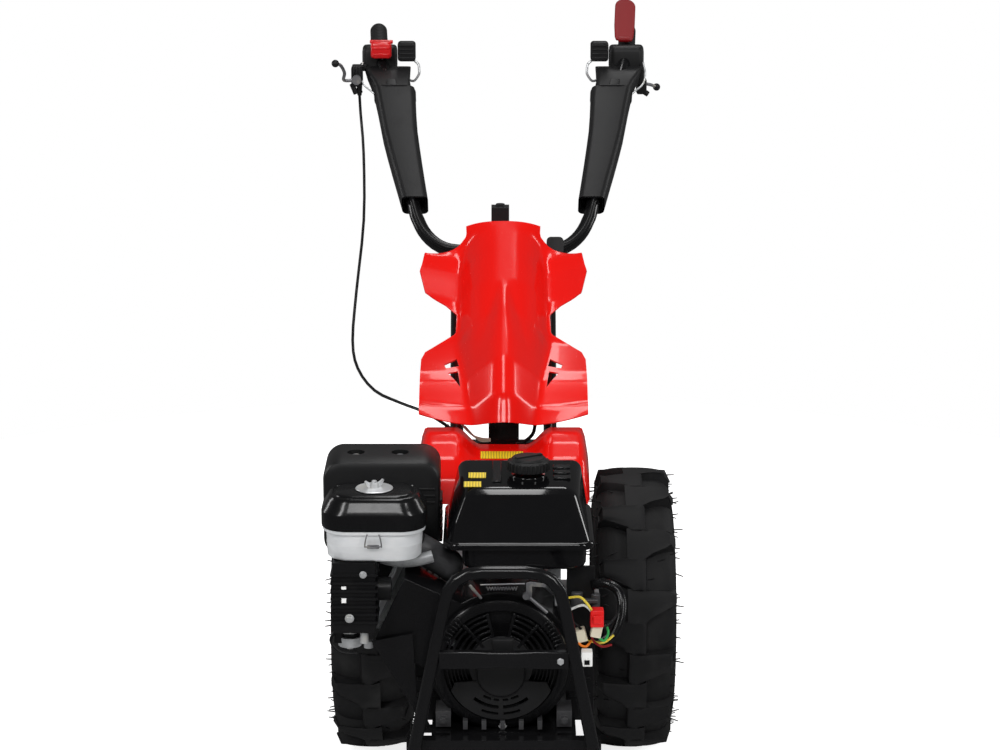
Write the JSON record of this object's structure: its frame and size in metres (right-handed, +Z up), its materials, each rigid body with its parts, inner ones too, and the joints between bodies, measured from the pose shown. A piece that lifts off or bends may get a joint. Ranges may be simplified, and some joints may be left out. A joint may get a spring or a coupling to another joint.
{
  "type": "tiller",
  "caption": "Two-wheel walking tiller with a slanted petrol engine in front, red hoods, ribbed tyres and long handlebars with hand levers.",
  "frame": {"origin": "on the ground under the middle of the whole machine's box; the machine's own middle plane is X = 0", "axes": "+Z up, -Y forward (engine and bumper), +Y back towards the operator, +X to the machine's left as the operator stands, which is the right side seen from the front"},
  "size_m": [0.699, 1.6783, 1.2663],
  "materials": {
    "tyre_rubber": "matt rubber",
    "black_steel": "satin black paint",
    "cast_iron": "painted rough casting",
    "cast_aluminium": "sand-cast",
    "bright_steel": "zinc plated",
    "red_shell": "high gloss red",
    "lever_red": "dark red, smooth",
    "black_plastic": "satin black",
    "gloss_black": "gloss black",
    "smoke_plastic": "milky translucent",
    "filter_paper": "pleated paper",
    "grip_rubber": "matt ribbed rubber",
    "cable_sheath": "gloss black sheath",
    "friction_lining": "clutch lining",
    "connector_plastic": "natural nylon"
  },
  "bodies": {
    "chassis": {"gearbox_case": "cast_iron", "bell_housing": "cast_aluminium", "crankcase": "cast_aluminium", "cylinder": "cast_aluminium", "valve_cover": "black_steel", "fan_shroud": "black_steel", "recoil_cover": "black_plastic", "carburettor": "black_plastic", "intake_elbow": "cast_aluminium", "filter_cover": "black_plastic", "filter_bowl": "smoke_plastic", "filter_element": "filter_paper", "muffler": "black_steel", "fuel_tank": "gloss_black", "starter_motor": "black_steel", "wiring_box": "connector_plastic", "wiring_conduit": "black_plastic", "base_frame": "black_steel", "bumper_hoop": "black_steel", "bumper_crossbar": "black_steel", "lower_cover": "red_shell", "hitch": "black_steel"},
    "left_wheel": {"tyre_left": "tyre_rubber", "rim_left": "black_steel", "axle_left": "bright_steel"},
    "right_wheel": {"tyre_right": "tyre_rubber", "rim_right": "black_steel", "axle_right": "bright_steel"},
    "crank_train": {"crankshaft": "bright_steel", "flywheel": "cast_iron", "clutch_drum": "bright_steel"},
    "gear_input": {"input_shaft": "bright_steel", "clutch_disc": "friction_lining"},
    "final_drive": {"drive_wheel": "bright_steel"},
    "starter_pulley": {"recoil_pulley": "black_plastic"},
    "starter_grip": {"recoil_handle": "black_plastic"},
    "cap": {"tank_cap": "black_plastic"},
    "filter_nut": {"wing_nut": "bright_steel"},
    "column": {"steering_column": "black_steel", "handlebar": "black_steel", "upper_hood": "red_shell", "sleeve_left": "black_plastic", "sleeve_right": "black_plastic", "collar_left": "black_plastic", "collar_right": "black_plastic", "grip_left": "grip_rubber", "grip_right": "grip_rubber", "throttle_cable": "cable_sheath", "cables_left": "cable_sheath", "cables_right": "cable_sheath", "key_box": "black_plastic"},
    "clutch": {"clutch_lever": "lever_red"},
    "stop_lever": {"thumb_lever": "lever_red"},
    "left_release": {"release_lever_left": "black_plastic"},
    "right_release": {"release_lever_right": "black_plastic"},
    "throttle": {"throttle_lever": "bright_steel"},
    "side_control": {"side_lever": "black_plastic"},
    "gear_shift": {"gear_lever": "black_plastic"},
    "drawbar_pin": {"hitch_pin": "bright_steel"},
    "prop_stand": {"prop_stand": "black_steel"}
  },
  "joints": [
    {"name": "left_wheel_spin", "type": "hinge", "parent": "chassis", "child": "left_wheel", "pos_m": [-0.239, -0.313, 0.26], "axis": [1, 0, 0], "continuous": true},
    {"name": "right_wheel_spin", "type": "hinge", "parent": "chassis", "child": "right_wheel", "pos_m": [0.239, -0.313, 0.26], "axis": [1, 0, 0], "continuous": true},
    {"name": "crank_spin", "type": "hinge", "parent": "chassis", "child": "crank_train", "pos_m": [-0.005, -0.553, 0.311], "axis": [0, 1, 0], "continuous": true},
    {"name": "gear_input_spin", "type": "hinge", "parent": "chassis", "child": "gear_input", "pos_m": [-0.005, -0.313, 0.311], "axis": [0, 1, 0], "continuous": true},
    {"name": "final_drive_spin", "type": "hinge", "parent": "chassis", "child": "final_drive", "pos_m": [0.02, -0.313, 0.26], "axis": [1, 0, 0], "continuous": true},
    {"name": "starter_pull", "type": "slide", "parent": "chassis", "child": "starter_grip", "axis": [0, 0, 1], "range_m": [0, 0.5]},
    {"name": "starter_pulley_spin", "type": "hinge", "parent": "chassis", "child": "starter_pulley", "pos_m": [-0.005, -0.763, 0.311], "axis": [0, 1, 0], "range_deg": [0, 600]},
    {"name": "cap_turn", "type": "hinge", "parent": "chassis", "child": "cap", "pos_m": [0.043, -0.613, 0.613], "axis": [0, 0, 1], "range_deg": [0, 90]},
    {"name": "filter_nut_turn", "type": "hinge", "parent": "chassis", "child": "filter_nut", "pos_m": [-0.2205, -0.715, 0.61], "axis": [0, 0, 1], "continuous": true},
    {"name": "column_tilt", "type": "hinge", "parent": "chassis", "child": "column", "pos_m": [0, -0.203, 0.42], "axis": [1, 0, 0], "range_deg": [-5, 8]},
    {"name": "clutch_squeeze", "type": "hinge", "parent": "column", "child": "clutch", "pos_m": [0.258, 0.697, 1.189], "axis": [1, 0, 0], "range_deg": [-18, 0], "stiffness_Nm_per_rad": 1.2, "springref_deg": 25.78},
    {"name": "stop_lever_swing", "type": "hinge", "parent": "column", "child": "stop_lever", "pos_m": [-0.2585, 0.659, 1.189], "axis": [1, 0, 0], "range_deg": [-20, 0], "stiffness_Nm_per_rad": 0.3, "springref_deg": 22.92},
    {"name": "left_release_swing", "type": "hinge", "parent": "column", "child": "left_release", "pos_m": [-0.2045, 0.659, 1.19], "axis": [1, 0, 0], "range_deg": [-18, 0], "stiffness_Nm_per_rad": 0.3, "springref_deg": 22.92},
    {"name": "right_release_swing", "type": "hinge", "parent": "column", "child": "right_release", "pos_m": [0.2045, 0.659, 1.19], "axis": [1, 0, 0], "range_deg": [-18, 0], "stiffness_Nm_per_rad": 0.3, "springref_deg": 22.92},
    {"name": "throttle_swing", "type": "hinge", "parent": "column", "child": "throttle", "pos_m": [-0.31, 0.615, 1.114], "axis": [0, 1, 0], "range_deg": [-25, 35]},
    {"name": "side_lever_swing", "type": "hinge", "parent": "column", "child": "side_control", "pos_m": [0.297, 0.727, 1.09], "axis": [0, 1, 0], "range_deg": [-25, 25]},
    {"name": "gear_shift_rock", "type": "hinge", "parent": "column", "child": "gear_shift", "pos_m": [0.113, 0.207, 0.75], "axis": [1, 0, 0], "range_deg": [-8, 8]},
    {"name": "drawbar_pin_lift", "type": "slide", "parent": "chassis", "child": "drawbar_pin", "axis": [0, 0, 1], "range_m": [0, 0.12]},
    {"name": "prop_stand_fold", "type": "hinge", "parent": "chassis", "child": "prop_stand", "pos_m": [0, -0.425, 0.158], "axis": [1, 0, 0], "range_deg": [-88, 0]}
  ],
  "couplings": [
    {"joint": "starter_pulley_spin", "follows": "starter_pull", "rad_per_m": 20},
    {"joint": "gear_input_spin", "follows": "final_drive_spin", "ratio": -4.25}
  ]
}
